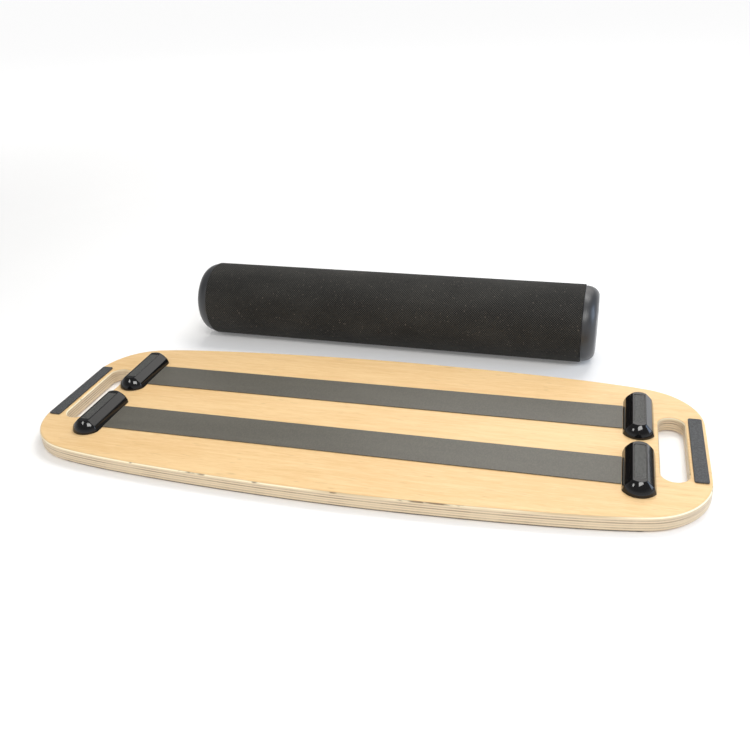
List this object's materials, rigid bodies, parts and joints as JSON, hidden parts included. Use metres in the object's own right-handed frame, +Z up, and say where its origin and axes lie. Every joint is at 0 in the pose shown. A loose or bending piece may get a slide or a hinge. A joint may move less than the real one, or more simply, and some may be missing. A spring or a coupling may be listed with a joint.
{
  "type": "roller balance board",
  "caption": "Barrel-sided plywood balance board lying underside up, with track strips, stoppers, hand slots and a loose grip-covered roller.",
  "frame": {"origin": "on the floor under the middle of the deck, on the underside of the grip sheet", "axes": "+X along the deck, +Y across the deck towards the roller, +Z up"},
  "size_m": [0.7848, 0.4517, 0.105],
  "materials": {
    "plywood": "clear satin lacquer over light maple or birch face veneer, layered plies on the edge",
    "grip_sheet": "black anti-slip sheet with a fine grit surface",
    "track_rubber": "satin dark grey friction strip",
    "pad_rubber": "dark grey rubber with a fine pebble texture",
    "stopper_gloss": "gloss black moulding",
    "stopper_inlay": "grey fine-textured inlay",
    "screw_steel": "zinc plated",
    "roller_sleeve": "near-black woven grit-faced grip cover",
    "roller_tube": "plain extruded tube",
    "roller_cap": "satin black moulding"
  },
  "bodies": {
    "board": {"deck_board": "plywood", "standing_grip_sheet": "grip_sheet", "track_strip_front": "track_rubber", "track_strip_rear": "track_rubber", "end_pad_left": "pad_rubber", "end_pad_right": "pad_rubber", "stopper_shell_left_front": "stopper_gloss", "stopper_shell_left_rear": "stopper_gloss", "stopper_shell_right_front": "stopper_gloss", "stopper_shell_right_rear": "stopper_gloss", "stopper_inlay_left_front": "stopper_inlay", "stopper_inlay_left_rear": "stopper_inlay", "stopper_inlay_right_front": "stopper_inlay", "stopper_inlay_right_rear": "stopper_inlay", "stopper_screw_left_front_1": "screw_steel", "stopper_screw_left_front_2": "screw_steel", "stopper_screw_left_rear_1": "screw_steel", "stopper_screw_left_rear_2": "screw_steel", "stopper_screw_right_front_1": "screw_steel", "stopper_screw_right_front_2": "screw_steel", "stopper_screw_right_rear_1": "screw_steel", "stopper_screw_right_rear_2": "screw_steel"},
    "roller": {"roller_tube": "roller_tube", "roller_sleeve": "roller_sleeve", "roller_cap_left": "roller_cap", "roller_cap_right": "roller_cap"}
  },
  "joints": [
    {"name": "roller_roll", "type": "hinge", "parent": "board", "child": "roller", "pos_m": [-0.0224, 0.2433, 0.05249], "axis": [0.9998, -0.0211, 0], "continuous": true}
  ]
}
